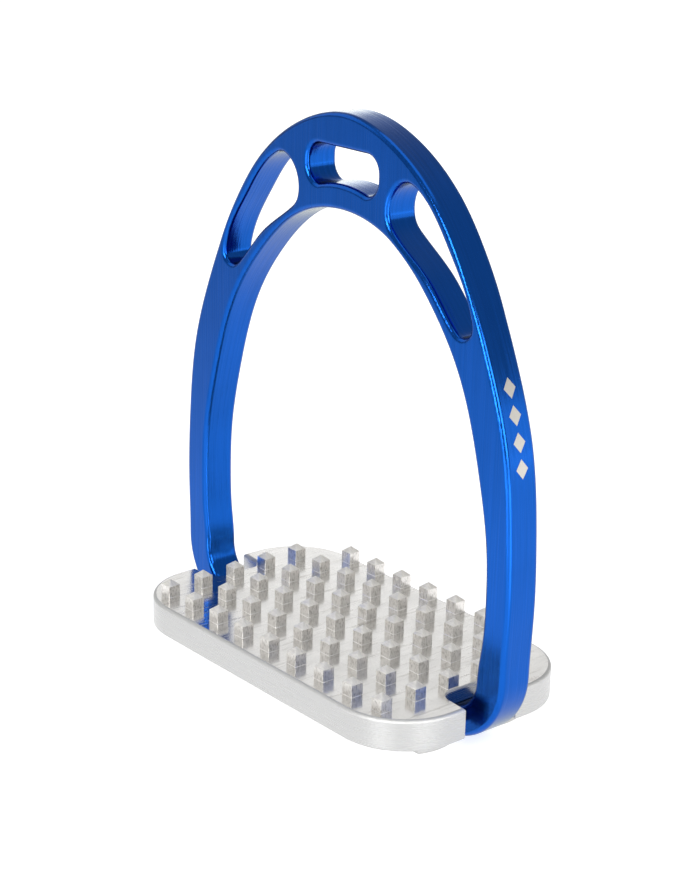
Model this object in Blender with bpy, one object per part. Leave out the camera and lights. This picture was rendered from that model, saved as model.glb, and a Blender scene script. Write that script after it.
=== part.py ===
"""A stirrup iron: a machined alloy bow standing in a studded tread.

The bow is one closed ring cut from thick plate. Its bottom bar lies in a channel under the
tread, between two ribs, and four countersunk screws hold it there from below.
Metres, +Z up, +X along the tread, -Y the front. The origin is on the ground under the middle
of the tread. Heights in the outlines below are measured from the top of the tread plate.
"""
import math

import bmesh
import bpy
import numpy as np
from mathutils import Vector
from mathutils.geometry import tessellate_polygon

MM = 0.001
GAP = 0.3 * MM                       # between pieces that touch

# Bow
BOW_DEPTH = 10.4 * MM                # front to back
BOW_EDGE = 1.6 * MM                  # rounding of every edge
RIM_FLAT = 0.3 * MM                  # flat left between two roundings on a narrow strip
CROWN_TOP = 143.8 * MM
CROWN_UNDER = 118.4 * MM
OUTER_CORNER = 21.0 * MM             # radius where a leg turns into the bottom bar
OUTER_CORNER_X = 46.6 * MM
INNER_CORNER = 10.5 * MM
INNER_CORNER_X = 47.2 * MM
BAR_TOP = -4.5 * MM
BAR_BOTTOM = -12.8 * MM
SLOT_HALF = 14.1 * MM                # opening for the stirrup leather
SLOT_TOP = 134.6 * MM
SLOT_BOTTOM = 125.2 * MM
SLOT_SAG = 1.3 * MM                  # the slot's ends reach this much lower than its middle
SLOT_CORNER = 4.6 * MM

# Tread
TREAD_LENGTH = 118.0 * MM
TREAD_DEPTH = 67.0 * MM
TREAD_THICK = 8.8 * MM
TREAD_CORNER = 19.5 * MM
TOP_BEVEL = 1.0 * MM
BOTTOM_BEVEL = 0.5 * MM
NOTCH_END = 48.9 * MM                # from the middle of the tread
NOTCH_WIDTH = 18.2 * MM
NOTCH_FILLET = 4.0 * MM
NOTCH_BEVEL_SHARE = 0.35             # of the bevels round the rest of the plate
RIB_HEIGHT = 4.4 * MM
RIB_OUTER = 18.9 * MM                # from the middle plane
RIB_HALF_LENGTH = 52.0 * MM
RIB_BULGE = 1.5 * MM
OVERLAP = 1.0 * MM                   # how far united pieces reach into each other

# Studs milled on the tread
STUD_PITCH = 11.6 * MM
STUD_SIDE = 3.8 * MM
STUD_HEIGHT = 3.8 * MM
STUD_COLUMNS = 9
STUD_ROWS = 6
STUD_SHIFT = 2.2 * MM                # the grid sits this much towards the back

# Screws
SCREW_XS = (-40.0 * MM, -14.0 * MM, 14.0 * MM, 40.0 * MM)
SCREW_SHANK = 4.0 * MM
SCREW_HEAD = 7.6 * MM
SCREW_LENGTH = 10.0 * MM
SCREW_RECESS = 1.0 * MM              # head face above the bar's underside
SCREW_RIM = 0.3 * MM                 # straight edge of the head
SOCKET_FLATS = 2.5 * MM
SOCKET_DEPTH = 1.6 * MM
SCREW_SIDES = 24

PLATE_TOP = RIB_HEIGHT + TREAD_THICK             # the tread's top above the ground
SCREW_FACE = PLATE_TOP + BAR_BOTTOM + SCREW_RECESS

# Half outlines of the bow, knots of one smooth curve each, crown to leg
OUTER_KNOTS = [(0.0, CROWN_TOP), (17.5 * MM, 139.6 * MM), (35.0 * MM, 127.5 * MM),
               (46.7 * MM, 111.8 * MM), (57.8 * MM, 89.2 * MM), (64.5 * MM, 69.8 * MM),
               (67.6 * MM, 46.0 * MM), (68.2 * MM, 26.0 * MM),
               (OUTER_CORNER_X + OUTER_CORNER, BAR_BOTTOM + OUTER_CORNER)]
INNER_KNOTS = [(0.0, CROWN_UNDER), (17.4 * MM, 114.7 * MM), (34.4 * MM, 101.3 * MM),
               (46.0 * MM, 85.6 * MM), (55.1 * MM, 60.4 * MM), (58.8 * MM, 42.7 * MM),
               (59.5 * MM, 29.0 * MM), (58.9 * MM, 16.5 * MM),
               (INNER_CORNER_X + INNER_CORNER, BAR_TOP + INNER_CORNER)]
# The window beside the slot, knots of one closed curve, from its blunt end by the slot
WINDOW_KNOTS = [(18.2 * MM, 121.6 * MM), (20.4 * MM, 127.2 * MM), (25.2 * MM, 129.8 * MM),
                (29.3 * MM, 128.4 * MM), (41.2 * MM, 115.5 * MM), (50.0 * MM, 99.8 * MM),
                (50.0 * MM, 96.6 * MM), (46.8 * MM, 94.9 * MM), (43.0 * MM, 97.1 * MM),
                (33.6 * MM, 106.9 * MM), (21.6 * MM, 115.4 * MM), (19.0 * MM, 118.0 * MM)]


def clear_scene():
    for thing in list(bpy.data.objects):
        bpy.data.objects.remove(thing, do_unlink=True)


def spline(knots, steps, ends=None):
    """A smooth cubic through the knots; closed, or open with the two end directions given."""
    points = np.array(knots, dtype=float)
    if ends is None:
        points = np.vstack([points, points[:1]])
    spans = np.linalg.norm(np.diff(points, axis=0), axis=1)
    slopes = np.diff(points, axis=0) / spans[:, None]
    count = len(points)
    matrix = np.zeros((count, count))
    right = np.zeros((count, 2))
    for i in range(1, count - 1):
        matrix[i, i - 1:i + 2] = (1 / spans[i - 1], 2 / spans[i - 1] + 2 / spans[i], 1 / spans[i])
        right[i] = 3 * (slopes[i - 1] / spans[i - 1] + slopes[i] / spans[i])
    if ends is None:
        matrix[0, [0, 1, -2]] = (2 / spans[0] + 2 / spans[-1], 1 / spans[0], 1 / spans[-1])
        right[0] = 3 * (slopes[0] / spans[0] + slopes[-1] / spans[-1])
        matrix[-1, [0, -1]] = (1, -1)
    else:
        matrix[0, 0] = matrix[-1, -1] = 1
        right[0], right[-1] = ends
    tangents = np.linalg.solve(matrix, right)
    line = []
    for i, span in enumerate(spans):
        for t in np.arange(steps) / steps:
            line.append(points[i] * (1 + 2 * t) * (1 - t) ** 2 + points[i + 1] * t * t * (3 - 2 * t)
                        + span * (tangents[i] * t * (1 - t) ** 2 - tangents[i + 1] * t * t * (1 - t)))
    if ends is not None:
        line.append(points[-1])
    return [(float(u), float(v)) for u, v in line]


def arc(centre, radius, start, stop, steps):
    """Points on a circle from one angle to another, in degrees, both ends included."""
    angles = [math.radians(start + (stop - start) * i / steps) for i in range(steps + 1)]
    return [(centre[0] + radius * math.cos(a), centre[1] + radius * math.sin(a)) for a in angles]


def mirrored(half):
    """A half outline and its mirror image; a point on the middle plane is kept once."""
    return half + [(-u, v) for u, v in reversed(half) if u > 0]


def wound(outline, anticlockwise):
    """The outline, turned to run the asked way round."""
    area = sum(a[0] * b[1] - b[0] * a[1] for a, b in zip(outline, outline[1:] + outline[:1]))
    return outline if (area > 0) == anticlockwise else outline[::-1]


def moved_in(outline, distances):
    """The outline moved to its left, each point by its own distance."""
    moved = []
    for i, point in enumerate(outline):
        here = Vector(point)
        before = (here - Vector(outline[i - 1])).normalized()
        after = (Vector(outline[(i + 1) % len(outline)]) - here).normalized()
        normal = Vector((-(before + after).y, (before + after).x)).normalized()
        reach = normal.dot(Vector((-before.y, before.x)))
        moved.append(here + normal * distances[i] / max(reach, 0.5))
    return moved


def new_object(name, mesh_maker, material):
    mesh = bpy.data.meshes.new(name)
    form = bmesh.new()
    mesh_maker(form)
    bmesh.ops.recalc_face_normals(form, faces=form.faces)
    form.to_mesh(mesh)
    form.free()
    thing = bpy.data.objects.new(name, mesh)
    bpy.context.scene.collection.objects.link(thing)
    if material:
        mesh.materials.append(material)
    return thing


def distance_to(point, outline):
    """From a point to the nearest place on a closed outline."""
    here, starts = np.array(point), np.array(outline)
    runs = np.roll(starts, -1, axis=0) - starts
    along = np.clip(((here - starts) * runs).sum(axis=1) / (runs ** 2).sum(axis=1), 0, 1)
    return float(np.linalg.norm(starts + runs * along[:, None] - here, axis=1).min())


def shared_edge(outlines, radius):
    """How much of the rounding a rim point takes: less where another rim is close to it."""
    def share(point, index):
        others = [outline for i, outline in enumerate(outlines) if i != index]
        strip = min(distance_to(point, outline) for outline in others)
        return min(1.0, (strip - RIM_FLAT) / 2 / radius)
    return share


def slab(form, outlines, levels, place, share=None):
    """A solid between stacked copies of its outlines: the first is the rim, the others are holes.

    Each level is a height and how far the outlines move into the material there. place turns
    (across, along, height) into a point. share scales the movement of a point of an outline,
    which it gets with the outline's number.
    """
    outlines = [wound(outline, i == 0) for i, outline in enumerate(outlines)]
    share = share or (lambda point, index: 1.0)
    shares = [[share(point, i) for point in outline] for i, outline in enumerate(outlines)]
    stacks = []
    for height, inset in levels:
        flat = [moved_in(outline, [inset * s for s in row]) for outline, row in zip(outlines, shares)]
        stacks.append((flat, [[form.verts.new(place(p.x, p.y, height)) for p in loop] for loop in flat]))
    for (_, low), (_, high) in zip(stacks, stacks[1:]):
        for below, above in zip(low, high):
            for i in range(len(below)):
                form.faces.new((below[i - 1], below[i], above[i], above[i - 1]))
    for flat, rings in (stacks[0], stacks[-1]):
        corners = [v for ring in rings for v in ring]
        for a, b, c in tessellate_polygon([[p.to_3d() for p in loop] for loop in flat]):
            form.faces.new((corners[a], corners[b], corners[c]))


def rounded_levels(depth, radius, steps):
    """Levels of a plate whose rims are rounded on both sides."""
    one_side = []
    for i in range(steps + 1):
        turn = math.radians(90 * i / steps)
        one_side.append((depth / 2 - radius * (1 - math.cos(turn)), radius * (1 - math.sin(turn))))
    return [(-height, inset) for height, inset in one_side] + one_side[::-1]


def box(form, low, high):
    made = bmesh.ops.create_cube(form, size=1.0)["verts"]
    middle = (Vector(low) + Vector(high)) / 2
    size = Vector(high) - Vector(low)
    for vert in made:
        vert.co = Vector([vert.co[i] * size[i] for i in range(3)]) + middle


def ring(form, radius, height, sides, x):
    """Corners round the vertical at x, at one height."""
    angles = [2 * math.pi * i / sides for i in range(sides)]
    return [form.verts.new((x + radius * math.cos(a), radius * math.sin(a), height)) for a in angles]


def wall(form, rings):
    """The faces between stacked rings."""
    for low, high in zip(rings, rings[1:]):
        for i in range(len(low)):
            form.faces.new((low[i - 1], low[i], high[i], high[i - 1]))


def turned(form, profile, x):
    """A body turned about the vertical at x, from (radius, height) pairs, closed at both ends."""
    rings = [ring(form, radius, height, SCREW_SIDES, x) for radius, height in profile]
    wall(form, rings)
    form.faces.new(rings[0])
    form.faces.new(rings[-1])


def tool(name, mesh_maker):
    """A hidden shape that only cuts or adds to a piece."""
    thing = new_object(name, mesh_maker, None)
    thing.hide_render = True
    thing.display_type = "WIRE"
    return thing


def combine(thing, other, operation):
    change = thing.modifiers.new(other.name, "BOOLEAN")
    change.operation = operation
    change.object = other


def metal(name, colour, roughness):
    material = bpy.data.materials.new(name)
    material.use_nodes = True
    surface = material.node_tree.nodes["Principled BSDF"]
    surface.inputs["Base Color"].default_value = (*colour, 1.0)
    surface.inputs["Roughness"].default_value = roughness
    surface.inputs["Metallic"].default_value = 1.0
    return material


def leg_half(knots, corner_x, corner, bar, steps):
    """Crown to bar: the curved side, the round corner and the straight bar."""
    side = spline(knots, steps, ends=((1, 0), (0, -1)))
    turn = arc((corner_x, bar + corner), corner, 0, -90, 9)
    return side + turn[1:]


def slot_outline():
    """A long hole with a flat top, round corners and a bottom that follows the crown."""
    inner = SLOT_HALF - SLOT_CORNER
    upper = arc((inner, SLOT_TOP - SLOT_CORNER), SLOT_CORNER, 90, 0, 5)
    low = SLOT_BOTTOM - SLOT_SAG
    lower = arc((inner, low + SLOT_CORNER), SLOT_CORNER, 0, -90, 5)
    rise = [(inner * (1 - t), low + SLOT_SAG * (1 - (1 - t) ** 2)) for t in (0.33, 0.66, 1.0)]
    return mirrored(upper + lower + rise)


def make_bow(material):
    outlines = [mirrored(leg_half(OUTER_KNOTS, OUTER_CORNER_X, OUTER_CORNER, BAR_BOTTOM, 4)),
                mirrored(leg_half(INNER_KNOTS, INNER_CORNER_X, INNER_CORNER, BAR_TOP, 4)),
                slot_outline()]
    window = spline(WINDOW_KNOTS, 3)
    outlines += [window, [(-u, v) for u, v in window]]
    levels = rounded_levels(BOW_DEPTH, BOW_EDGE, 2)

    def upright(form):
        slab(form, outlines, levels, lambda u, v, w: (u, w, v + PLATE_TOP), shared_edge(outlines, BOW_EDGE))

    return new_object("bow", upright, material)


def tread_outline():
    """The plate's rim from above, a rounded rectangle with a notch in each end."""
    half_x, half_y, notch = TREAD_LENGTH / 2, TREAD_DEPTH / 2, NOTCH_WIDTH / 2
    corner_x, corner_y = half_x - TREAD_CORNER, half_y - TREAD_CORNER
    fillet = (NOTCH_END + NOTCH_FILLET, notch - NOTCH_FILLET)
    quarter = arc((corner_x, corner_y), TREAD_CORNER, 90, 0, 10) + [(half_x, notch)]
    quarter += arc(fillet, NOTCH_FILLET, 90, 180, 4)
    right = quarter + [(u, -v) for u, v in reversed(quarter)]
    return right + [(-u, -v) for u, v in right]


def rib(form, side):
    """A rib under the plate with bowed ends; side is -1 at the front and 1 at the back."""
    inside = BOW_DEPTH / 2 + GAP - OVERLAP
    middle, half = (BOW_DEPTH / 2 + GAP + RIB_OUTER) / 2, (RIB_OUTER - BOW_DEPTH / 2 - GAP) / 2
    end = []
    for i in range(7):
        t = -1 + i / 3
        end.append((RIB_HALF_LENGTH + RIB_BULGE * (1 - t * t), middle + half * t))
    outline = [(RIB_HALF_LENGTH, inside)] + end
    outline += [(-u, v) for u, v in reversed(outline)]
    levels = [(0.0, BOTTOM_BEVEL), (BOTTOM_BEVEL, 0.0), (RIB_HEIGHT + OVERLAP, 0.0)]
    slab(form, [[(u, side * v) for u, v in outline]], levels, lambda u, v, w: (u, v, w))


def ribs(form):
    rib(form, -1)
    rib(form, 1)


def studs(form):
    """Every place of the grid but the two back corners, where the plate's rim cuts in."""
    for column in range(STUD_COLUMNS):
        for row in range(STUD_ROWS):
            if row == STUD_ROWS - 1 and column in (0, STUD_COLUMNS - 1):
                continue
            x = (column - (STUD_COLUMNS - 1) / 2) * STUD_PITCH
            y = (row - (STUD_ROWS - 1) / 2) * STUD_PITCH + STUD_SHIFT
            half = STUD_SIDE / 2
            box(form, (x - half, y - half, PLATE_TOP - OVERLAP),
                (x + half, y + half, PLATE_TOP + STUD_HEIGHT))


def channel(form):
    """The trough that the bow's bar lies in."""
    half_y = BOW_DEPTH / 2 + GAP
    box(form, (-TREAD_LENGTH, -half_y, -OVERLAP), (TREAD_LENGTH, half_y, PLATE_TOP + BAR_TOP + GAP))


def tapped_holes(form):
    radius = SCREW_SHANK / 2 + GAP
    for x in SCREW_XS:
        top = SCREW_FACE + SCREW_LENGTH + GAP
        turned(form, [(radius, PLATE_TOP + BAR_TOP - OVERLAP), (radius, top)], x)


def countersinks(form):
    head, shank = SCREW_HEAD / 2 + GAP, SCREW_SHANK / 2 + GAP
    rim = SCREW_FACE + SCREW_RIM
    profile = [(head, -OVERLAP), (head, rim), (shank, rim + head - shank),
               (shank, PLATE_TOP + BAR_TOP + OVERLAP)]
    for x in SCREW_XS:
        turned(form, profile, x)


def make_tread(material):
    def share(point, index):
        in_notch = abs(point[1]) < NOTCH_WIDTH / 2 + GAP and abs(point[0]) < TREAD_LENGTH / 2 - GAP
        return NOTCH_BEVEL_SHARE if in_notch else 1.0

    levels = [(RIB_HEIGHT, BOTTOM_BEVEL), (RIB_HEIGHT + BOTTOM_BEVEL, 0.0),
              (PLATE_TOP - TOP_BEVEL, 0.0), (PLATE_TOP, TOP_BEVEL)]

    def plate(form):
        slab(form, [tread_outline()], levels, lambda u, v, w: (u, v, w), share)

    tread = new_object("tread", plate, material)
    combine(tread, tool("rib_shapes", ribs), "UNION")
    combine(tread, tool("stud_shapes", studs), "UNION")
    combine(tread, tool("channel_cutter", channel), "DIFFERENCE")
    combine(tread, tool("tapped_hole_cutter", tapped_holes), "DIFFERENCE")
    return tread


def screw(form, x):
    """A countersunk screw, head down, with its six-sided socket open below."""
    head, shank = SCREW_HEAD / 2, SCREW_SHANK / 2
    rim = SCREW_FACE + SCREW_RIM
    tip = SCREW_FACE + SCREW_LENGTH
    profile = [(head, SCREW_FACE), (head, rim), (shank, rim + head - shank), (shank, tip - shank / 4),
               (shank * 0.75, tip)]
    body = [ring(form, radius, height, SCREW_SIDES, x) for radius, height in profile]
    corner = SOCKET_FLATS / math.sqrt(3)
    socket = [ring(form, corner, height, 6, x) for height in (SCREW_FACE, SCREW_FACE + SOCKET_DEPTH)]
    wall(form, body)
    wall(form, socket)
    form.faces.new(body[-1])
    form.faces.new(socket[-1])
    corners = body[0] + socket[0]
    for a, b, c in tessellate_polygon([[v.co.copy() for v in loop] for loop in (body[0], socket[0])]):
        form.faces.new((corners[a], corners[b], corners[c]))


def main():
    clear_scene()
    blue = metal("anodised_blue", (0.010, 0.075, 0.42), 0.32)
    silver = metal("milled_aluminium", (0.66, 0.65, 0.62), 0.28)
    steel = metal("screw_steel", (0.50, 0.50, 0.50), 0.30)
    bow = make_bow(blue)
    combine(bow, tool("countersink_cutter", countersinks), "DIFFERENCE")
    make_tread(silver)
    for number, x in enumerate(SCREW_XS, start=1):
        new_object(f"screw_{number}", lambda form: screw(form, x), steel)


main()
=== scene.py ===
"""The looks of the stirrup iron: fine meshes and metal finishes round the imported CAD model.

The bow, the tread and the screws are made again here with finer curves, rounded edges and
machined details, each in the place of its CAD node. Metres, +Z up, the frame of the CAD.
"""

import math

import bmesh
import bpy
import numpy as np
from mathutils import Matrix, Vector
from mathutils.geometry import delaunay_2d_cdt


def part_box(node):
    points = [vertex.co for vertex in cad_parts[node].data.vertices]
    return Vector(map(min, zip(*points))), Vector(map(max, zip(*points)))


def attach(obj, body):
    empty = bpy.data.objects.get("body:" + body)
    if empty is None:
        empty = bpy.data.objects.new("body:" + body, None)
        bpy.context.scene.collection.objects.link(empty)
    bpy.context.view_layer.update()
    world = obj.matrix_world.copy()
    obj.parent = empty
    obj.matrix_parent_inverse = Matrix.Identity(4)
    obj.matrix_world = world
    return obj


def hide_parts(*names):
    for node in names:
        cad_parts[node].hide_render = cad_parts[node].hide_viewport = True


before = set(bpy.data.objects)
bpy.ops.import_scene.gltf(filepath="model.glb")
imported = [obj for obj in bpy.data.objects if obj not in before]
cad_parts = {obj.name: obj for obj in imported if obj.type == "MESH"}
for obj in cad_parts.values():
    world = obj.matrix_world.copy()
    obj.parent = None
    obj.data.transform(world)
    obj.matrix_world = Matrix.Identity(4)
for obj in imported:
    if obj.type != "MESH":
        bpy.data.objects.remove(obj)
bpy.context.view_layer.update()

MM = 0.001

# Read from the CAD nodes, whose studs are flat-topped
BOW_LOW, BOW_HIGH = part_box("bow")
TREAD_LOW, TREAD_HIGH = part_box("tread")
CAD_STUD_HEIGHT = 3.8 * MM
PLATE_TOP = TREAD_HIGH.z - CAD_STUD_HEIGHT
BOW_DEPTH = BOW_HIGH.y - BOW_LOW.y
GAP = 0.3 * MM                       # clearance between pieces that lie against each other

# Bow, with heights from the tread plate's top. Knots are (across, height), and those of the
# ring's two edges run from the crown down to the bottom corner.
BOW_EDGE = 1.35 * MM
RIM_FLAT = 0.3 * MM                  # flat left between two roundings on a narrow strip
CROWN_TOP = BOW_HIGH.z - PLATE_TOP
CROWN_UNDER = 118.4 * MM
OUTER_CORNER = 21.0 * MM
OUTER_CORNER_X = 46.6 * MM
INNER_CORNER = 10.5 * MM
INNER_CORNER_X = 47.2 * MM
BAR_TOP = -4.5 * MM
BAR_BOTTOM = BOW_LOW.z - PLATE_TOP
SLOT_HALF = 14.1 * MM
SLOT_TOP = 134.6 * MM
SLOT_BOTTOM = 125.2 * MM
SLOT_SAG = 1.3 * MM
SLOT_CORNER = 4.6 * MM
OUTER_KNOTS = [(0.0, CROWN_TOP), (17.5 * MM, 139.6 * MM), (35.0 * MM, 127.5 * MM),
               (46.7 * MM, 111.8 * MM), (57.8 * MM, 89.2 * MM), (64.5 * MM, 69.8 * MM),
               (67.6 * MM, 46.0 * MM), (68.2 * MM, 26.0 * MM),
               (OUTER_CORNER_X + OUTER_CORNER, BAR_BOTTOM + OUTER_CORNER)]
INNER_KNOTS = [(0.0, CROWN_UNDER), (17.4 * MM, 114.7 * MM), (34.4 * MM, 101.3 * MM),
               (46.0 * MM, 85.6 * MM), (55.1 * MM, 60.4 * MM), (58.8 * MM, 42.7 * MM),
               (59.5 * MM, 29.0 * MM), (58.9 * MM, 16.5 * MM),
               (INNER_CORNER_X + INNER_CORNER, BAR_TOP + INNER_CORNER)]
WINDOW_KNOTS = [(18.2 * MM, 121.6 * MM), (20.4 * MM, 127.2 * MM), (25.2 * MM, 129.8 * MM),
                (29.3 * MM, 128.4 * MM), (41.2 * MM, 115.5 * MM), (50.0 * MM, 99.8 * MM),
                (50.0 * MM, 96.6 * MM), (46.8 * MM, 94.9 * MM), (43.0 * MM, 97.1 * MM),
                (33.6 * MM, 106.9 * MM), (21.6 * MM, 115.4 * MM), (19.0 * MM, 118.0 * MM)]

# Tread
TREAD_LENGTH = TREAD_HIGH.x - TREAD_LOW.x
TREAD_DEPTH = TREAD_HIGH.y - TREAD_LOW.y
RIB_HEIGHT = 4.4 * MM
TREAD_CORNER = 19.5 * MM
TOP_ROUND = 0.9 * MM
BOTTOM_ROUND = 0.5 * MM
NOTCH_END = 48.9 * MM
NOTCH_WIDTH = 18.2 * MM
NOTCH_FILLET = 4.0 * MM
NOTCH_SHARE = 0.35                   # part of the rim's rounding that the notches get
RIB_OUTER = 18.9 * MM
RIB_HALF_LENGTH = 52.0 * MM
RIB_BULGE = 1.5 * MM
RIB_ROUND = 0.8 * MM
OVERLAP = 1.0 * MM                   # how far joined or cutting shapes reach past a face
STUD_PITCH = 11.6 * MM
STUD_SIDE = 3.8 * MM
STUD_COLUMNS, STUD_ROWS = 9, 6
STUD_SHIFT = 2.2 * MM
STUD_BEVEL = 0.05 * MM
STUD_SHOULDER = 3.4 * MM             # height of a stud's walls, below its point
STUD_POINT = 1.5 * MM                # rise of the low pyramid on top
STUD_TIP = 0.2 * MM                  # side of the small flat at its tip
STUD_FOOT = 0.11 * MM                # chamfer that the cutter leaves round a stud

# Mark on the outside of one leg
MARK_HEIGHTS = [84.4 * MM, 77.9 * MM, 71.4 * MM, 64.9 * MM]
MARK_TALL, MARK_WIDE = 5.0 * MM, 4.0 * MM
MARK_PROUD, MARK_ROOT = 0.03 * MM, 0.2 * MM    # reach out of and into the leg

# Screws
SCREW_XS = (-40.0 * MM, -14.0 * MM, 14.0 * MM, 40.0 * MM)
SCREW_SHANK = 4.0 * MM
SCREW_HEAD = 7.6 * MM
SCREW_LENGTH = 10.0 * MM
SCREW_FACE = BOW_LOW.z + 1.0 * MM
SCREW_RIM = 0.3 * MM
SCREW_EDGE = 0.15 * MM
SOCKET_FLATS = 2.5 * MM
SOCKET_DEPTH = 1.6 * MM
SCREW_SIDES = 64

LEG_STEPS, WINDOW_STEPS = 14, 9      # points for each span between two knots
HOLD = 0.06 * MM                     # flat margin that keeps shading crisp beside a rounded edge
SHARP = math.radians(32)


# ---------------------------------------------------------------- outlines

def spline(knots, steps, ends=None):
    """A smooth cubic through the knots; closed, or open with the two end directions given."""
    points = np.array(knots, dtype=float)
    if ends is None:
        points = np.vstack([points, points[:1]])
    spans = np.linalg.norm(np.diff(points, axis=0), axis=1)
    slopes = np.diff(points, axis=0) / spans[:, None]
    count = len(points)
    matrix = np.zeros((count, count))
    right = np.zeros((count, 2))
    for i in range(1, count - 1):
        matrix[i, i - 1:i + 2] = (1 / spans[i - 1], 2 / spans[i - 1] + 2 / spans[i], 1 / spans[i])
        right[i] = 3 * (slopes[i - 1] / spans[i - 1] + slopes[i] / spans[i])
    if ends is None:
        matrix[0, [0, 1, -2]] = (2 / spans[0] + 2 / spans[-1], 1 / spans[0], 1 / spans[-1])
        right[0] = 3 * (slopes[0] / spans[0] + slopes[-1] / spans[-1])
        matrix[-1, [0, -1]] = (1, -1)
    else:
        matrix[0, 0] = matrix[-1, -1] = 1
        right[0], right[-1] = ends
    tangents = np.linalg.solve(matrix, right)
    line = []
    for i, span in enumerate(spans):
        for t in np.arange(steps) / steps:
            line.append(points[i] * (1 + 2 * t) * (1 - t) ** 2 + points[i + 1] * t * t * (3 - 2 * t)
                        + span * (tangents[i] * t * (1 - t) ** 2 - tangents[i + 1] * t * t * (1 - t)))
    if ends is not None:
        line.append(points[-1])
    return [(float(u), float(v)) for u, v in line]


def arc(centre, radius, start, stop, steps):
    """Points on a circle from one angle to another, in degrees, both ends included."""
    angles = [math.radians(start + (stop - start) * i / steps) for i in range(steps + 1)]
    return [(centre[0] + radius * math.cos(a), centre[1] + radius * math.sin(a)) for a in angles]


def mirrored(half):
    """A half outline and its mirror image; a point on the middle plane is kept once."""
    return half + [(-u, v) for u, v in reversed(half) if u > 0]


def wound(outline, anticlockwise):
    """The outline, turned to run the asked way round."""
    area = sum(a[0] * b[1] - b[0] * a[1] for a, b in zip(outline, outline[1:] + outline[:1]))
    return outline if (area > 0) == anticlockwise else outline[::-1]


def moved_in(outline, distances):
    """The outline moved to its left, each point by its own distance."""
    moved = []
    for i, point in enumerate(outline):
        here = Vector(point)
        before = (here - Vector(outline[i - 1])).normalized()
        after = (Vector(outline[(i + 1) % len(outline)]) - here).normalized()
        normal = Vector((-(before + after).y, (before + after).x)).normalized()
        reach = normal.dot(Vector((-before.y, before.x)))
        moved.append(here + normal * distances[i] / max(reach, 0.5))
    return moved


def leg_half(knots, corner_x, corner, bar):
    """Crown to bar: the curved side, the round corner and the straight bar."""
    side = spline(knots, LEG_STEPS, ends=((1, 0), (0, -1)))
    turn = arc((corner_x, bar + corner), corner, 0, -90, 24)
    return side + turn[1:]


def slot_outline():
    """A long hole with a flat top, round corners and a bottom that follows the crown."""
    inner = SLOT_HALF - SLOT_CORNER
    upper = arc((inner, SLOT_TOP - SLOT_CORNER), SLOT_CORNER, 90, 0, 14)
    low = SLOT_BOTTOM - SLOT_SAG
    lower = arc((inner, low + SLOT_CORNER), SLOT_CORNER, 0, -90, 14)
    rise = [(inner * (1 - i / 10), low + SLOT_SAG * (1 - (1 - i / 10) ** 2)) for i in range(1, 11)]
    return mirrored(upper + lower + rise)


def tread_outline():
    """The plate's rim from above, a rounded rectangle with a notch in each end."""
    half_x, half_y, notch = TREAD_LENGTH / 2, TREAD_DEPTH / 2, NOTCH_WIDTH / 2
    corner = (half_x - TREAD_CORNER, half_y - TREAD_CORNER)
    fillet = (NOTCH_END + NOTCH_FILLET, notch - NOTCH_FILLET)
    quarter = arc(corner, TREAD_CORNER, 90, 0, 30) + [(half_x, notch)]
    quarter += arc(fillet, NOTCH_FILLET, 90, 180, 10)
    right = quarter + [(u, -v) for u, v in reversed(quarter)]
    return right + [(-u, -v) for u, v in right]


def rib_outline(side):
    """A rib under the plate with bowed ends; side is -1 at the front and 1 at the back."""
    inside = BOW_DEPTH / 2 + GAP
    middle, half = (inside + RIB_OUTER) / 2, (RIB_OUTER - inside) / 2
    end = []
    for i in range(17):
        t = -1 + i / 8
        end.append((RIB_HALF_LENGTH + RIB_BULGE * (1 - t * t), side * (middle + half * t)))
    return end + [(-u, v) for u, v in reversed(end)]


# ---------------------------------------------------------------- meshes

def new_piece(name, mesh_maker, materials):
    """An object whose mesh the maker builds in a bmesh."""
    mesh = bpy.data.meshes.new(name)
    form = bmesh.new()
    mesh_maker(form)
    bmesh.ops.recalc_face_normals(form, faces=form.faces)
    form.to_mesh(mesh)
    form.free()
    piece = bpy.data.objects.new(name, mesh)
    bpy.context.scene.collection.objects.link(piece)
    for material in materials:
        mesh.materials.append(material)
    return piece


def inside(point, outline):
    """Whether the point lies in the outline, by the crossings to its right."""
    crossings = 0
    for a, b in zip(outline, outline[1:] + outline[:1]):
        if (a[1] > point[1]) != (b[1] > point[1]):
            if point[0] < a[0] + (point[1] - a[1]) / (b[1] - a[1]) * (b[0] - a[0]):
                crossings += 1
    return crossings % 2 == 1


def flat_faces(form, loops, corners):
    """Covers the first loop, less the others, with triangles between the given corners."""
    points = [Vector(p) for loop in loops for p in loop]
    edges, first = [], 0
    for loop in loops:
        edges += [(first + i, first + (i + 1) % len(loop)) for i in range(len(loop))]
        first += len(loop)
    spots, _, faces, sources, _, _ = delaunay_2d_cdt(points, edges, [], 0, 1e-9)
    for face in faces:
        middle = sum((spots[i] for i in face), Vector((0, 0))) / 3
        if inside(middle, loops[0]) and not any(inside(middle, loop) for loop in loops[1:]):
            form.faces.new([corners[sources[i][0]] for i in face])


def distance_to(point, outline):
    """From a point to the nearest place on a closed outline."""
    here, starts = np.array(point), np.array(outline)
    runs = np.roll(starts, -1, axis=0) - starts
    along = np.clip(((here - starts) * runs).sum(axis=1) / (runs ** 2).sum(axis=1), 0, 1)
    return float(np.linalg.norm(starts + runs * along[:, None] - here, axis=1).min())


def shared_edge(outlines, radius):
    """How much of the rounding a rim point takes: less where another rim is close to it."""
    def share(point, index):
        others = [outline for i, outline in enumerate(outlines) if i != index]
        strip = min(distance_to(point, outline) for outline in others)
        return min(1.0, (strip - RIM_FLAT) / 2 / radius)
    return share


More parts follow.
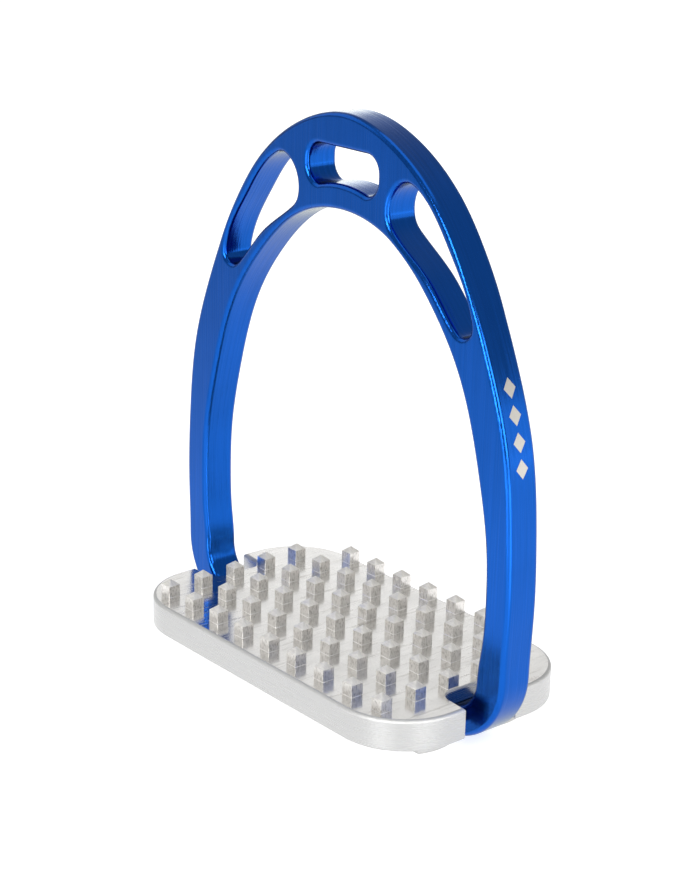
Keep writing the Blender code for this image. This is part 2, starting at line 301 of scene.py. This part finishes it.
def slab(form, outlines, levels, place, share=None):
    """A solid between stacked copies of its outlines: the first is the rim, the others are holes.

    Each level is a height and how far the outlines move into the material there. place turns
    (across, along, height) into a point. share scales the movement of a point of an outline,
    which it gets with the outline's number.
    """
    outlines = [wound(outline, i == 0) for i, outline in enumerate(outlines)]
    share = share or (lambda point, index: 1.0)
    shares = [[share(point, i) for point in outline] for i, outline in enumerate(outlines)]
    stacks = []
    for height, inset in levels:
        flat = [moved_in(outline, [inset * s for s in row]) for outline, row in zip(outlines, shares)]
        stacks.append((flat, [[form.verts.new(place(p.x, p.y, height)) for p in loop] for loop in flat]))
    for (_, low), (_, high) in zip(stacks, stacks[1:]):
        for below, above in zip(low, high):
            for i in range(len(below)):
                form.faces.new((below[i - 1], below[i], above[i], above[i - 1]))
    for flat, rings in (stacks[0], stacks[-1]):
        flat_faces(form, flat, [v for loop in rings for v in loop])


def quarter_round(radius, steps):
    """(distance below the face, inset) from the wall to the face, with a flat margin at each end."""
    turn = [(radius, 0.0)]
    for i in range(steps + 1):
        angle = math.radians(90 * i / steps)
        turn.append((radius * (1 - math.sin(angle)), radius * (1 - math.cos(angle))))
    return [(radius + HOLD, 0.0)] + turn[1:] + [(0.0, radius + HOLD)]


def rounded_levels(low, low_radius, high, high_radius, steps):
    """Levels of a plate from its lower to its upper face, with both rims rounded."""
    under = [(low + down, inset) for down, inset in reversed(quarter_round(low_radius, steps))]
    over = [(high - down, inset) for down, inset in quarter_round(high_radius, steps)]
    return under + over


def ring(form, radius, height, sides, x):
    """A level ring of points round the upright axis at x."""
    angles = [2 * math.pi * i / sides for i in range(sides)]
    return [form.verts.new((x + radius * math.cos(a), radius * math.sin(a), height)) for a in angles]


def wall(form, rings):
    """Faces between each ring and the next."""
    for low, high in zip(rings, rings[1:]):
        for i in range(len(low)):
            form.faces.new((low[i - 1], low[i], high[i], high[i - 1]))


def turned(form, profile, x):
    """A body turned about the vertical at x, from (radius, height) pairs, closed at both ends."""
    rings = [ring(form, radius, height, SCREW_SIDES, x) for radius, height in profile]
    wall(form, rings)
    form.faces.new(rings[0])
    form.faces.new(rings[-1])


def combine(piece, mesh_maker, operation):
    """Joins a shape to the piece, or cuts it out, and keeps the result as the piece's mesh."""
    other = new_piece("shape", mesh_maker, [])
    change = piece.modifiers.new("change", "BOOLEAN")
    change.operation = operation
    change.object = other
    bpy.context.view_layer.update()
    changed = piece.evaluated_get(bpy.context.evaluated_depsgraph_get())
    result = bpy.data.meshes.new_from_object(changed)
    piece.modifiers.clear()
    piece.data = result
    bpy.data.objects.remove(other)


def shade(piece):
    """Smooth shading, but for the edges that are really sharp."""
    piece.data.shade_smooth()
    piece.data.set_sharp_from_angle(angle=SHARP)


def place_piece(piece, slot, *nodes):
    """Fixes the piece to the one body, in the place of the CAD nodes named."""
    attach(piece, "root")
    if nodes:
        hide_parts(*nodes)


# ---------------------------------------------------------------- materials

class Look:
    """A metal unless it says otherwise, with short names for the nodes that feed its shader."""

    def __init__(self, name, colour, roughness, anisotropy=0.0):
        self.material = bpy.data.materials.new(name)
        self.material.use_nodes = True
        self.tree = self.material.node_tree
        self.surface = self.tree.nodes["Principled BSDF"]
        self.surface.inputs["Base Color"].default_value = (*colour, 1.0)
        self.surface.inputs["Metallic"].default_value = 1.0
        self.surface.inputs["Roughness"].default_value = roughness
        self.surface.inputs["Anisotropic"].default_value = anisotropy
        self.place = self.node("ShaderNodeTexCoord").outputs["Object"]
        self.normal = None

    def node(self, kind, values=None, **settings):
        made = self.tree.nodes.new(kind)
        for key, value in settings.items():
            setattr(made, key, value)
        for key, value in (values or {}).items():
            if isinstance(value, bpy.types.NodeSocket):
                self.tree.links.new(value, made.inputs[key])
            else:
                made.inputs[key].default_value = value
        return made

    def math(self, operation, a, b=0.0, c=0.0):
        return self.node("ShaderNodeMath", {0: a, 1: b, 2: c}, operation=operation).outputs[0]

    def noise(self, scale, detail=2.0, offset=(0, 0, 0), roughness=0.5):
        """Noise stretched by a scale for each axis, in waves per metre."""
        moved = self.node("ShaderNodeMapping", {"Vector": self.place, "Scale": scale, "Location": offset})
        found = self.node("ShaderNodeTexNoise", {"Vector": moved.outputs[0], "Scale": 1.0,
                                                 "Detail": detail, "Roughness": roughness})
        return found.outputs["Fac"]

    def remap(self, value, low, high, to_low, to_high):
        return self.node("ShaderNodeMapRange", {"Value": value, "From Min": low, "From Max": high,
                                                "To Min": to_low, "To Max": to_high}).outputs[0]

    def blend(self, share, a, b):
        """Between the values a and b."""
        return self.node("ShaderNodeMix", {"Factor": share, "A": a, "B": b}).outputs["Result"]

    def tint(self, share, a, b):
        """Between the colours a and b, onto the surface."""
        mix = self.node("ShaderNodeMix", {"Factor": share}, data_type="RGBA")
        for key, colour in ((6, a), (7, b)):
            if isinstance(colour, bpy.types.NodeSocket):
                self.tree.links.new(colour, mix.inputs[key])
            else:
                mix.inputs[key].default_value = (*colour, 1.0)
        return mix.outputs[2]

    def colour(self, socket):
        self.tree.links.new(socket, self.surface.inputs["Base Color"])

    def rough(self, socket):
        self.tree.links.new(socket, self.surface.inputs["Roughness"])

    def bump(self, height, distance):
        values = {"Height": height, "Strength": 1.0, "Distance": distance}
        if self.normal:
            values["Normal"] = self.normal
        self.normal = self.node("ShaderNodeBump", values).outputs[0]
        self.tree.links.new(self.normal, self.surface.inputs["Normal"])

    def facing(self, axis):
        """How much the surface faces along an axis, from 0 to 1."""
        normal = self.node("ShaderNodeNewGeometry").outputs["True Normal"]
        part = self.node("ShaderNodeSeparateXYZ", {0: normal}).outputs[axis]
        return self.math("ABSOLUTE", part)


def anodised_blue():
    """Blue anodised aluminium: brushed upright on its two faces and lengthwise on its edges."""
    look = Look("anodised_blue", (0.0075, 0.098, 0.47), 0.2)
    look.surface.inputs["Specular Tint"].default_value = (1.0, 0.96, 0.70, 1.0)
    upright = look.noise((1800, 1800, 24), 3.0, (0, 0, 0), 0.6)
    lengthwise = look.noise((30, 1800, 30), 3.0, (0, 0, 0), 0.6)
    on_face = look.remap(look.facing("Y"), 0.35, 0.6, 0.0, 1.0)
    lines = look.blend(on_face, lengthwise, upright)
    cloud = look.noise((60, 60, 60), 3.0)
    depth = look.blend(0.6, look.remap(cloud, 0.3, 0.7, 0.0, 1.0),
                       look.remap(lines, 0.36, 0.64, 0.0, 1.0))
    look.colour(look.tint(depth, (0.0065, 0.085, 0.41), (0.009, 0.103, 0.50)))
    look.rough(look.remap(lines, 0.3, 0.7, 0.12, 0.23))
    look.bump(lines, 6e-5)
    return look.material


def cutter_lines(look, axis, shift):
    """Fine lines beside the studs, where one pass of the cutter met the next."""
    along = look.node("ShaderNodeSeparateXYZ", {0: look.place}).outputs[axis]
    pitches = look.math("DIVIDE", look.math("SUBTRACT", along, shift), STUD_PITCH)
    turns = look.math("FRACT", look.math("ADD", pitches, 100.5))
    distance = look.math("MULTIPLY", look.math("ABSOLUTE", look.math("SUBTRACT", turns, 0.5)), STUD_PITCH)
    off = look.math("ABSOLUTE", look.math("SUBTRACT", distance, STUD_SIDE / 2 + STUD_FOOT))
    return look.remap(off, 0.0, 0.16 * MM, 1.0, 0.0)


def milled_top():
    """Bright milled aluminium, nearly a mirror, with the cutter's passes between the studs."""
    look = Look("milled_top", (0.80, 0.79, 0.77), 0.12)
    hair = look.noise((2200, 40, 1), 3.0)
    cross = look.noise((90, 1500, 1), 3.0, (3, 1, 0))
    lines = look.blend(0.35, hair, cross)
    passes = look.math("MAXIMUM", cutter_lines(look, 0, 0.0),
                       look.math("MULTIPLY", cutter_lines(look, 1, STUD_SHIFT + STUD_PITCH / 2), 0.5))
    worn = look.math("MULTIPLY", passes, look.remap(look.noise((300, 120, 1), 3.0), 0.42, 0.62, 0.0, 1.0))
    scratch = look.remap(look.noise((520, 38, 1), 6.0, (7, 3, 0), 0.75), 0.54, 0.62, 0.0, 1.0)
    marks = look.math("MAXIMUM", worn, look.math("MULTIPLY", scratch, 0.7))
    cloud = look.remap(look.noise((160, 90, 1), 3.0, (2, 5, 0)), 0.35, 0.65, 0.0, 1.0)
    bright = look.tint(cloud, (0.78, 0.77, 0.75), (0.86, 0.85, 0.83))
    look.colour(look.tint(marks, bright, (0.60, 0.58, 0.55)))
    look.rough(look.math("ADD", look.remap(lines, 0.3, 0.7, 0.10, 0.22),
                         look.math("MULTIPLY", marks, 0.15)))
    look.bump(lines, 3e-6)
    look.bump(marks, 6e-6)
    return look.material


def edge_painted_shade():
    """The rounding between the plate's top and its rim: rough, and darker than the plate's top, a painted
    shade band along the edge.
    """
    # base colour kept below the plate's: painted shade on the edge that also holds back its highlight
    look = Look("edge_painted_shade", (0.63, 0.63, 0.62), 0.5)
    spots = look.noise((700, 700, 700), 3.0)
    look.rough(look.remap(spots, 0.3, 0.7, 0.56, 0.70))
    look.bump(spots, 6e-6)
    return look.material


def satin_side():
    """The plate's rim, brushed lengthwise: its reflections are drawn out upwards."""
    look = Look("satin_side", (0.54, 0.54, 0.535), 0.30, 0.5)
    around = look.node("ShaderNodeTangent", direction_type="RADIAL", axis="Z").outputs[0]
    look.tree.links.new(around, look.surface.inputs["Tangent"])
    look.surface.inputs["Anisotropic Rotation"].default_value = 0.25
    lines = look.noise((60, 60, 3000), 3.0)
    look.rough(look.remap(lines, 0.3, 0.7, 0.25, 0.31))
    look.bump(lines, 1.5e-6)
    return look.material


def stud_side():
    """Milled walls of the studs, scored upright by the cutter."""
    look = Look("stud_side", (0.71, 0.69, 0.66), 0.2)
    lines = look.noise((2300, 2300, 500), 4.0, (0, 0, 0), 0.65)
    scores = look.remap(look.noise((2200, 2200, 900), 3.0, (5, 2, 1), 0.65), 0.48, 0.66, 0.0, 1.0)
    look.colour(look.tint(scores, (0.82, 0.80, 0.77), (0.52, 0.50, 0.47)))
    look.rough(look.remap(lines, 0.3, 0.7, 0.25, 0.43))
    look.bump(lines, 9e-6)
    return look.material


def stud_top():
    """The dull, unburnished facets of a stud's point."""
    look = Look("stud_top", (0.86, 0.85, 0.83), 0.6)
    lines = look.noise((700, 2200, 1), 4.0)
    grain = look.remap(lines, 0.35, 0.65, 0.0, 1.0)
    look.colour(look.tint(grain, (0.84, 0.82, 0.78), (0.97, 0.95, 0.90)))
    look.rough(look.remap(lines, 0.3, 0.7, 0.52, 0.68))
    look.bump(lines, 1.0e-5)
    return look.material


def stud_foot_highlight():
    """The chamfer round a stud's foot, in a light base colour: a painted highlight line."""
    # light base colour: a painted highlight along each stud's foot
    look = Look("stud_foot_highlight", (0.93, 0.91, 0.89), 0.5)
    look.rough(look.remap(look.noise((800, 800, 800), 2.0), 0.3, 0.7, 0.4, 0.6))
    return look.material


def screw_steel():
    """Plain steel, a little uneven."""
    look = Look("screw_steel", (0.56, 0.56, 0.57), 0.28)
    spots = look.noise((900, 900, 900), 3.0)
    look.rough(look.remap(spots, 0.3, 0.7, 0.22, 0.36))
    look.bump(spots, 4e-6)
    return look.material


def bare_mark():
    """The bare aluminium of the engraved mark."""
    look = Look("bare_mark", (0.56, 0.54, 0.50), 0.42)
    spots = look.noise((2500, 2500, 2500), 2.0)
    look.rough(look.remap(spots, 0.3, 0.7, 0.36, 0.5))
    look.bump(spots, 5e-6)
    return look.material


def pale_floor():
    """A pale floor that glows evenly white round the iron.

    It glows more far behind the iron and in two lobes in front of it, and less to its left,
    which gives the metals something to reflect.
    """
    look = Look("pale_floor", (0.66, 0.66, 0.66), 0.6)
    look.surface.inputs["Metallic"].default_value = 0.0
    look.surface.inputs["Emission Color"].default_value = (1.0, 1.0, 1.0, 1.0)
    behind = look.node("ShaderNodeVectorMath", {0: look.place, 1: back(BACKDROP_AZIMUTH, 0)},
                       operation="DOT_PRODUCT").outputs["Value"]
    outwards = look.node("ShaderNodeVectorMath", {0: look.place}, operation="NORMALIZE").outputs["Vector"]
    ahead = look.node("ShaderNodeVectorMath", {0: outwards, 1: back(FRONT_AZIMUTH, 0)},
                      operation="DOT_PRODUCT").outputs["Value"]
    lobes = look.remap(look.math("ABSOLUTE", look.math("SUBTRACT", ahead, 0.84)), 0.05, 0.13, 1.9, 0.0)
    away = look.node("ShaderNodeVectorMath", {0: look.place}, operation="LENGTH").outputs["Value"]
    lobes = look.math("MULTIPLY", lobes, look.remap(away, 0.12, 0.26, 0.0, 1.0))
    left = look.node("ShaderNodeVectorMath", {0: look.place, 1: back(LEFT_AZIMUTH, 0)},
                     operation="DOT_PRODUCT").outputs["Value"]
    glow = look.math("ADD", look.remap(behind, 0.2, 1.4, 0.69, 1.15), lobes)
    glow = look.math("SUBTRACT", glow, look.remap(left, 0.06, 0.42, 0.0, 0.43))
    look.tree.links.new(glow, look.surface.inputs["Emission Strength"])
    return look.material


# ---------------------------------------------------------------- bow

def countersinks(form):
    """The screws' holes through the bar, a little larger than the screws."""
    head, shank = SCREW_HEAD / 2 + GAP, SCREW_SHANK / 2 + GAP
    rim = SCREW_FACE + SCREW_RIM
    profile = [(head, -OVERLAP), (head, rim), (shank, rim + head - shank),
               (shank, PLATE_TOP + BAR_TOP + OVERLAP)]
    for x in SCREW_XS:
        turned(form, profile, x)


def make_bow(material):
    """The ring with its slot and two windows, stood upright, with countersunk holes."""
    outlines = [mirrored(leg_half(OUTER_KNOTS, OUTER_CORNER_X, OUTER_CORNER, BAR_BOTTOM)),
                mirrored(leg_half(INNER_KNOTS, INNER_CORNER_X, INNER_CORNER, BAR_TOP)),
                slot_outline()]
    window = spline(WINDOW_KNOTS, WINDOW_STEPS)
    outlines += [window, [(-u, v) for u, v in window]]
    levels = rounded_levels(-BOW_DEPTH / 2, BOW_EDGE, BOW_DEPTH / 2, BOW_EDGE, 7)

    def upright(form):
        slab(form, outlines, levels, lambda u, v, w: (u, w, v + PLATE_TOP),
             shared_edge(outlines, BOW_EDGE))

    bow = new_piece("bow_fine", upright, [material])
    combine(bow, countersinks, "DIFFERENCE")
    shade(bow)
    place_piece(bow, "anodised_blue", "bow")


def make_mark(material):
    """A column of four plain lozenges, engraved through the blue to the bare metal."""
    outline = spline(OUTER_KNOTS, LEG_STEPS, ends=((1, 0), (0, -1)))
    heights = [v for _, v in reversed(outline)]
    reaches = [u for u, _ in reversed(outline)]

    def reach(height):
        return np.interp(height, heights, reaches)

    def at(across, height, out):
        slope = (reach(height + MM) - reach(height - MM)) / (2 * MM)
        normal = Vector((1.0, 0.0, -slope)).normalized()
        spot = Vector((reach(height), across, height + PLATE_TOP))
        return spot + normal * out

    def lozenges(form):
        for middle in MARK_HEIGHTS:
            right = [((1 - abs(t)) / 2, t / 2) for t in (i / 4 for i in range(-4, 5))]
            around = right + [(-a, b) for a, b in right[-2:0:-1]]
            rim = [[form.verts.new(at(a * MARK_WIDE, middle + b * MARK_TALL, out)) for a, b in around]
                   for out in (-MARK_ROOT, MARK_PROUD)]
            wall(form, rim)
            for loop in rim:
                for i in range(8):
                    form.faces.new(dict.fromkeys((loop[i], loop[i + 1], loop[-i - 1], loop[-i])))

    mark = new_piece("leg_mark", lozenges, [material])
    shade(mark)
    place_piece(mark, "milled_aluminium")


# ---------------------------------------------------------------- tread

def stud(form, x, y):
    """A square stud with its upright edges just broken and a pyramid point on top."""
    half, bevel = STUD_SIDE / 2, STUD_BEVEL
    square = [(x - half, y - half), (x + half, y - half), (x + half, y + half), (x - half, y + half)]
    outline = []
    for i, corner in enumerate(square):
        here, before, after = Vector(corner), Vector(square[i - 1]), Vector(square[(i + 1) % 4])
        outline += [here + (other - here).normalized() * bevel for other in (before, after)]
    foot, shoulder = STUD_FOOT, PLATE_TOP + STUD_SHOULDER

    def pointed(u, v, w):
        rise = max(0.0, w - shoulder) / STUD_POINT
        share = 1.0 - rise * (1.0 - STUD_TIP / STUD_SIDE)
        return x + (u - x) * share, y + (v - y) * share, w

    levels = [(PLATE_TOP - OVERLAP, -foot), (PLATE_TOP, -foot), (PLATE_TOP + foot, 0.0),
              (shoulder, 0.0), (shoulder + STUD_POINT, 0.0)]
    slab(form, [[tuple(p) for p in outline]], levels, pointed)


def studs(form):
    """Every place of the grid but the two back corners, where the plate's rim cuts in."""
    for column in range(STUD_COLUMNS):
        for row in range(STUD_ROWS):
            if row == STUD_ROWS - 1 and column in (0, STUD_COLUMNS - 1):
                continue
            stud(form, (column - (STUD_COLUMNS - 1) / 2) * STUD_PITCH,
                 (row - (STUD_ROWS - 1) / 2) * STUD_PITCH + STUD_SHIFT)


def ribs(form):
    """The two ribs under the plate, rounded below, one on each side of the bar."""
    levels = quarter_round(RIB_ROUND, 4)[::-1] + [(RIB_HEIGHT + OVERLAP, 0.0)]
    for side in (-1, 1):
        slab(form, [rib_outline(side)], levels, lambda u, v, w: (u, v, w))


def channel(form):
    """The trough that the bow's bar lies in."""
    made = bmesh.ops.create_cube(form, size=1.0)["verts"]
    low, high = RIB_HEIGHT - OVERLAP, PLATE_TOP + BAR_TOP + GAP
    for vert in made:
        vert.co = Vector((vert.co.x * TREAD_LENGTH * 2, vert.co.y * (BOW_DEPTH + 2 * GAP),
                          (low + high) / 2 + vert.co.z * (high - low)))


def make_tread(materials):
    """The plate with its ribs, studs and channel, and a material for each kind of face."""
    def share(point, index):
        in_notch = abs(point[1]) < NOTCH_WIDTH / 2 + GAP and abs(point[0]) < TREAD_LENGTH / 2 - GAP
        return NOTCH_SHARE if in_notch else 1.0

    levels = rounded_levels(RIB_HEIGHT, BOTTOM_ROUND, PLATE_TOP, TOP_ROUND, 5)

    def plate(form):
        slab(form, [tread_outline()], levels, lambda u, v, w: (u, v, w), share)

    tread = new_piece("tread_fine", plate, materials)
    combine(tread, ribs, "UNION")
    combine(tread, studs, "UNION")
    combine(tread, channel, "DIFFERENCE")
    shade(tread)
    # each face's material follows from its height and from how far it faces up
    top, side, stud_wall, stud_face, foot, edge = range(6)
    for face in tread.data.polygons:
        if face.center.z > PLATE_TOP + STUD_FOOT:
            face.material_index = stud_face if face.normal.z > 0.3 else stud_wall
        elif face.center.z > PLATE_TOP + 0.2 * STUD_FOOT:
            face.material_index = foot
        else:
            face.material_index = top if face.normal.z > 0.99 else edge if face.normal.z > 0.1 else side
    place_piece(tread, "milled_aluminium", "tread")


# ---------------------------------------------------------------- screws

def screw(form, x):
    """A countersunk screw, head down, with its six-sided socket open below."""
    head, shank = SCREW_HEAD / 2, SCREW_SHANK / 2
    rim = SCREW_FACE + SCREW_RIM
    tip = SCREW_FACE + SCREW_LENGTH
    edge = SCREW_EDGE
    profile = [(head - edge, SCREW_FACE), (head, SCREW_FACE + edge), (head, rim),
               (shank, rim + head - shank), (shank, tip - shank / 4), (shank * 0.75, tip)]
    body = [ring(form, radius, height, SCREW_SIDES, x) for radius, height in profile]
    corner = SOCKET_FLATS / math.sqrt(3)
    hollow = [(corner + edge, SCREW_FACE), (corner, SCREW_FACE + edge),
              (corner, SCREW_FACE + SOCKET_DEPTH)]
    socket = [ring(form, radius, height, 6, x) for radius, height in hollow]
    wall(form, body)
    wall(form, socket)
    form.faces.new(body[-1])
    form.faces.new(socket[-1])
    flat_faces(form, [[v.co.xy for v in loop] for loop in (body[0], socket[0])], body[0] + socket[0])


def make_screws(material):
    """The four screws that hold the bar up in its channel."""
    for number, x in enumerate(SCREW_XS, start=1):
        piece = new_piece(f"screw_{number}_fine", lambda form: screw(form, x), [material])
        shade(piece)
        place_piece(piece, "screw_steel", f"screw_{number}")


# ---------------------------------------------------------------- stage

CAMERA_PLACE = (0.3913, -0.3343, 0.2427)
CAMERA_AZIMUTH, CAMERA_ELEVATION, CAMERA_ROLL = 49.49, 18.62, 1.38
CAMERA_LENS = 83.04


def back(azimuth, elevation):
    """The direction from the object to a viewer at these angles, in degrees."""
    a, e = math.radians(azimuth), math.radians(elevation)
    return Vector((math.sin(a) * math.cos(e), -math.cos(a) * math.cos(e), math.sin(e)))


def make_camera():
    """A long lens, a little above the iron and to the side of its marked leg."""
    data = bpy.data.cameras.new("camera")
    data.lens = CAMERA_LENS
    data.clip_start = 0.01
    camera = bpy.data.objects.new("camera", data)
    bpy.context.scene.collection.objects.link(camera)
    turn = back(CAMERA_AZIMUTH, CAMERA_ELEVATION).to_track_quat("Z", "Y").to_matrix().to_4x4()
    camera.matrix_world = (Matrix.Translation(CAMERA_PLACE) @ turn
                           @ Matrix.Rotation(math.radians(CAMERA_ROLL), 4, "Z"))
    bpy.context.scene.camera = camera


MIDDLE = Vector((0.0, 0.0, 0.06))
ROOM_LIGHT, BACKDROP_LIGHT, HORIZON_LIGHT = 0.41, 0.62, 1.2
BACKDROP_AZIMUTH = CAMERA_AZIMUTH + 180
FRONT_AZIMUTH = 47.0
LEFT_AZIMUTH = -47.0


def from_object(azimuth, elevation, distance):
    """A place at these angles and this distance from the iron's middle."""
    return MIDDLE + back(azimuth, elevation) * distance


def softbox(name, place, target, width, height, radiance):
    """A rectangular light of an even radiance, where the floor's white is about 1."""
    data = bpy.data.lights.new(name, "AREA")
    data.shape = "RECTANGLE"
    data.size, data.size_y = width, height
    data.energy = radiance * math.pi * width * height
    light = bpy.data.objects.new(name, data)
    bpy.context.scene.collection.objects.link(light)
    turn = (Vector(place) - Vector(target)).to_track_quat("Z", "Y").to_matrix().to_4x4()
    light.matrix_world = Matrix.Translation(place) @ turn


def make_stage():
    """Pale floor, a pale room that is brighter behind the iron, and five soft lights."""
    def sheet(form):
        bmesh.ops.create_grid(form, x_segments=1, y_segments=1, size=6.0)

    floor = new_piece("floor", sheet, [pale_floor()])
    world = bpy.data.worlds.new("studio")
    bpy.context.scene.world = world
    world.use_nodes = True
    tree = world.node_tree
    place = tree.nodes.new("ShaderNodeTexCoord")
    towards = tree.nodes.new("ShaderNodeVectorMath")
    towards.operation = "DOT_PRODUCT"
    towards.inputs[1].default_value = back(BACKDROP_AZIMUTH, 4)
    tree.links.new(place.outputs["Generated"], towards.inputs[0])
    light = tree.nodes.new("ShaderNodeMath")
    light.operation = "ADD"
    steps = ((0.80, 0.985, ROOM_LIGHT, ROOM_LIGHT + BACKDROP_LIGHT),
             (0.960, 0.985, 0.0, HORIZON_LIGHT))
    for number, values in enumerate(steps):
        ramp = tree.nodes.new("ShaderNodeMapRange")
        for key, value in zip(("From Min", "From Max", "To Min", "To Max"), values):
            ramp.inputs[key].default_value = value
        tree.links.new(towards.outputs["Value"], ramp.inputs["Value"])
        tree.links.new(ramp.outputs[0], light.inputs[number])
    tree.links.new(light.outputs[0], tree.nodes["Background"].inputs["Strength"])
    tree.nodes["Background"].inputs["Color"].default_value = (1.0, 1.0, 1.0, 1.0)
    softbox("overhead", (0.05, 0.05, 0.75), (0.05, 0.05, 0.0), 0.5, 0.5, 0.8)
    softbox("key", from_object(22, 20, 1.25), MIDDLE, 0.42, 0.8, 9.0)
    softbox("fill", from_object(-62, 36, 1.2), MIDDLE, 0.9, 0.85, 0.6)
    softbox("side", from_object(84, 15, 1.1), MIDDLE, 0.6, 0.5, 6.0)
    softbox("panel", from_object(133, 6, 1.1), MIDDLE, 0.6, 0.33, 1.0)
    bpy.context.scene.view_settings.view_transform = "Standard"


def main():
    make_camera()
    make_stage()
    make_bow(anodised_blue())
    make_mark(bare_mark())
    make_tread([milled_top(), satin_side(), stud_side(), stud_top(), stud_foot_highlight(), edge_painted_shade()])
    make_screws(screw_steel())


main()
